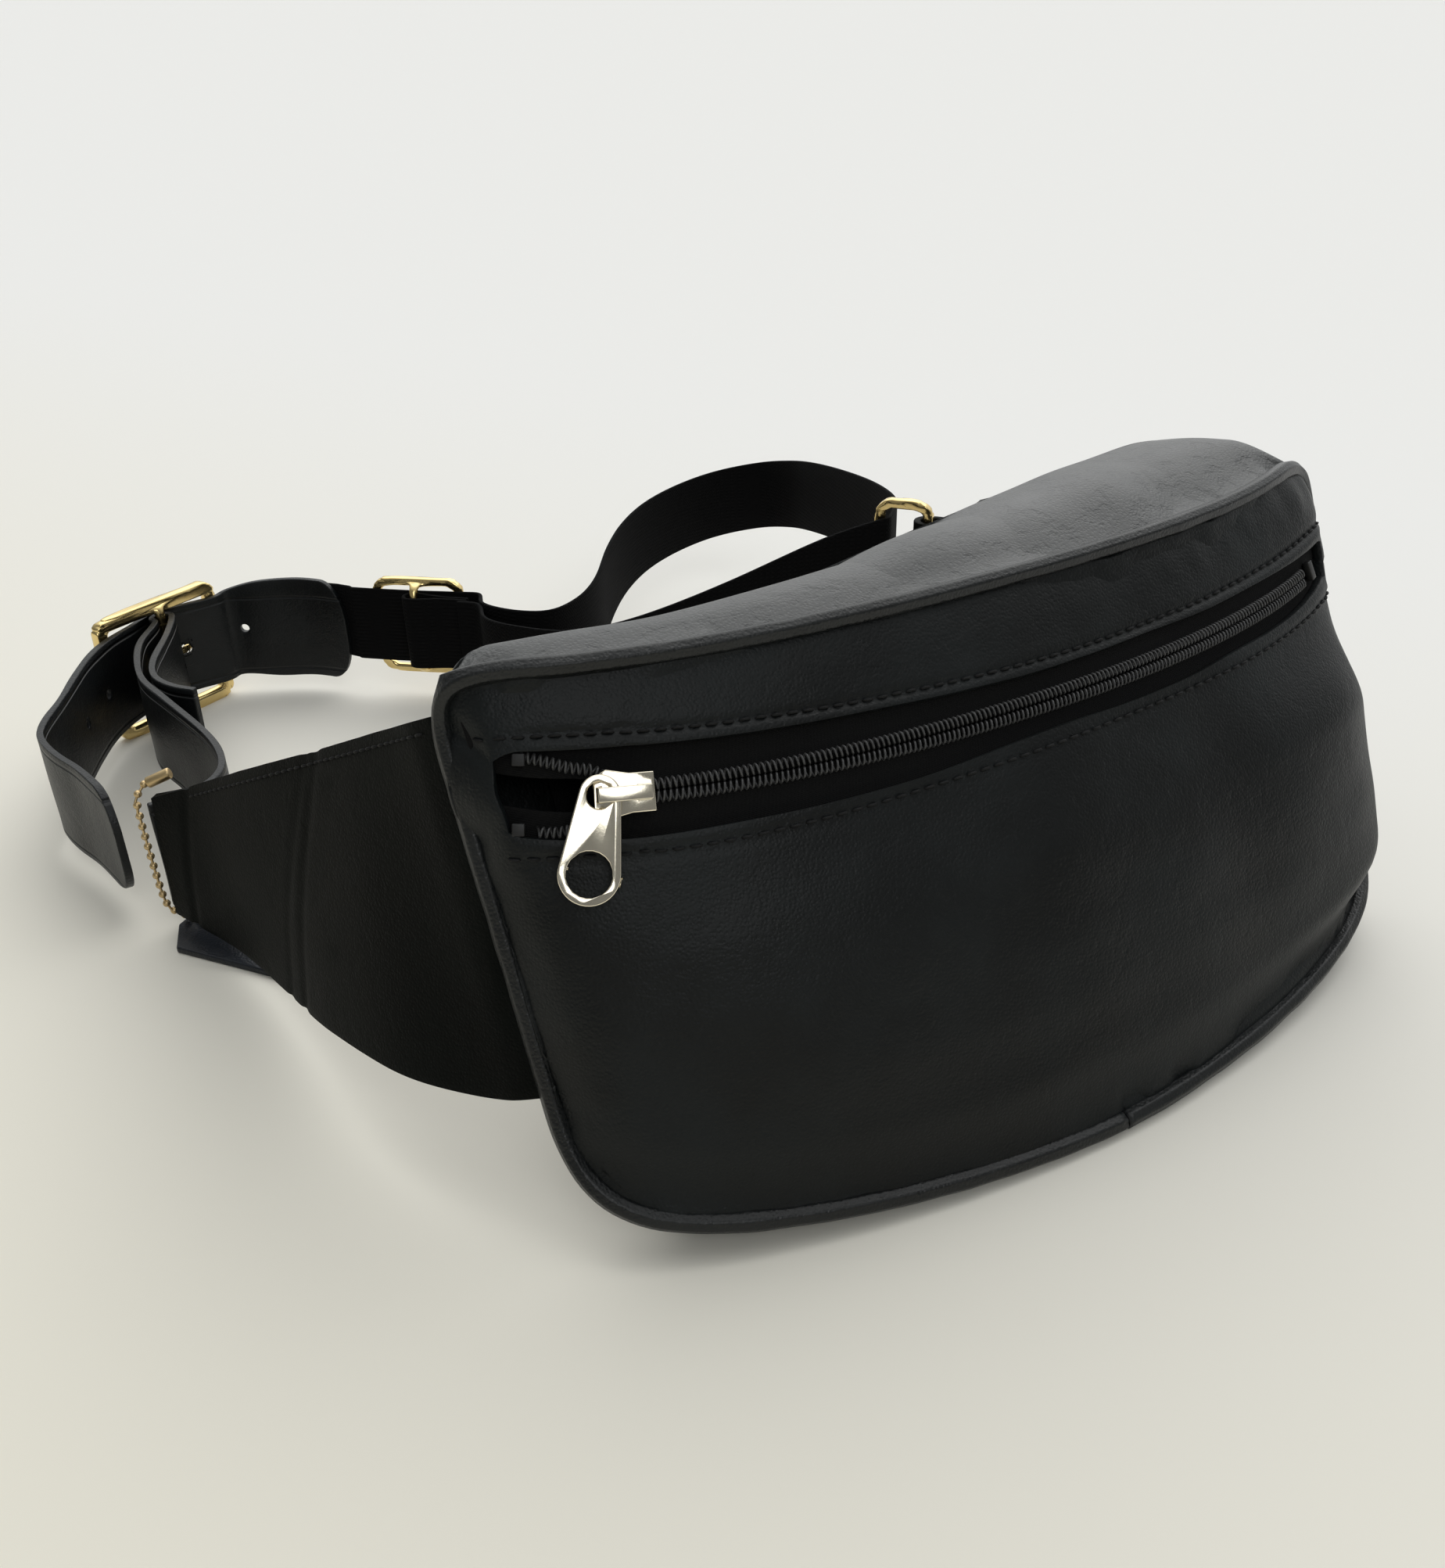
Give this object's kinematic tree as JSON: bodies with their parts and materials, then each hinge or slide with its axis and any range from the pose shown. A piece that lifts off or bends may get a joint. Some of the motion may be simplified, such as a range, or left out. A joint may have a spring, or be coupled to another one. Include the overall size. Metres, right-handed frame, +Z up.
{
  "type": "waist pack",
  "caption": "Crescent leather waist pack with piped front panel, curved zip, tapering wings, webbing belt, strap buckle and a hang tag on a ball chain.",
  "frame": {"origin": "middle of the flat patch of the base, on the surface that the pack stands on", "axes": "+Z up, +X along the bag to the right as seen from the front, -Y out of the front panel; the belt lies behind the bag along +Y"},
  "size_m": [0.3692, 0.4087, 0.1405],
  "materials": {
    "leather": "glazed black, soft sheen, fine grain and creases",
    "strap_leather": "glazed black, edges burnished, line creased along each edge",
    "tag_leather": "smooth black with a bluish sheen",
    "lining": "plain woven black cloth, matte",
    "zip_tape": "woven polyester herringbone, matte",
    "zip_coil": "black nylon coil, satin",
    "nickel": "polished warm nickel",
    "webbing": "ribbed black webbing, matte",
    "brass": "polished cast brass with soft highlights",
    "aged_brass": "tarnished ball chain"
  },
  "bodies": {
    "bag": {"front_panel": "leather", "front_piping": "leather", "top_gusset": "leather", "back_panel": "leather", "bottom_gusset": "leather", "left_wing": "leather", "right_wing": "leather", "ring_tab": "leather", "holed_strap": "strap_leather", "buckle_strap": "strap_leather", "lining_front": "lining", "lining_back": "lining", "zip_tape_upper": "zip_tape", "zip_tape_lower": "zip_tape", "zip_coil_upper": "zip_coil", "zip_coil_lower": "zip_coil", "zip_stop_upper": "zip_coil", "zip_stop_lower": "zip_coil", "zip_stop_right": "zip_coil", "webbing": "webbing", "ball_chain": "aged_brass", "chain_connector": "aged_brass"},
    "slider": {"zip_slider": "nickel"},
    "pull": {"zip_pull": "nickel"},
    "buckle": {"buckle_frame": "brass"},
    "prong": {"buckle_prong": "brass"},
    "glide": {"tri_glide": "brass", "webbing_loop": "webbing"},
    "ring": {"ring": "brass"},
    "tag": {"hang_tag": "tag_leather"}
  },
  "joints": [
    {"name": "zip_slide", "type": "hinge", "parent": "bag", "child": "slider", "pos_m": [0.00163, 0.38339, 0.15051], "axis": [0, -0.1272, 0.9919], "range_deg": [-1.6, 35.59]},
    {"name": "pull_swing", "type": "hinge", "parent": "slider", "child": "pull", "pos_m": [-0.11587, 0.04232, 0.10859], "axis": [-0.2609, -0.8251, 0.501], "range_deg": [-60, 48]},
    {"name": "buckle_rock", "type": "hinge", "parent": "bag", "child": "buckle", "pos_m": [-0.1573, 0.36638, 0.026], "axis": [0, 0, 1], "range_deg": [-0.4, 0.4]},
    {"name": "prong_lift", "type": "hinge", "parent": "buckle", "child": "prong", "pos_m": [-0.1573, 0.36638, 0.026], "axis": [0, 0, 1], "range_deg": [0, 4]},
    {"name": "glide_slide", "type": "slide", "parent": "bag", "child": "glide", "axis": [-0.7799, 0.6259, 0], "range_m": [0, 0.008]},
    {"name": "ring_swing", "type": "hinge", "parent": "bag", "child": "ring", "pos_m": [0.09176, 0.1897, 0.073], "axis": [0, 0, 1], "range_deg": [-2, 2]},
    {"name": "tag_swing", "type": "hinge", "parent": "bag", "child": "tag", "pos_m": [-0.1815, 0.2075, 0.0012], "axis": [0, 0, 1], "range_deg": [-20, 20]}
  ]
}
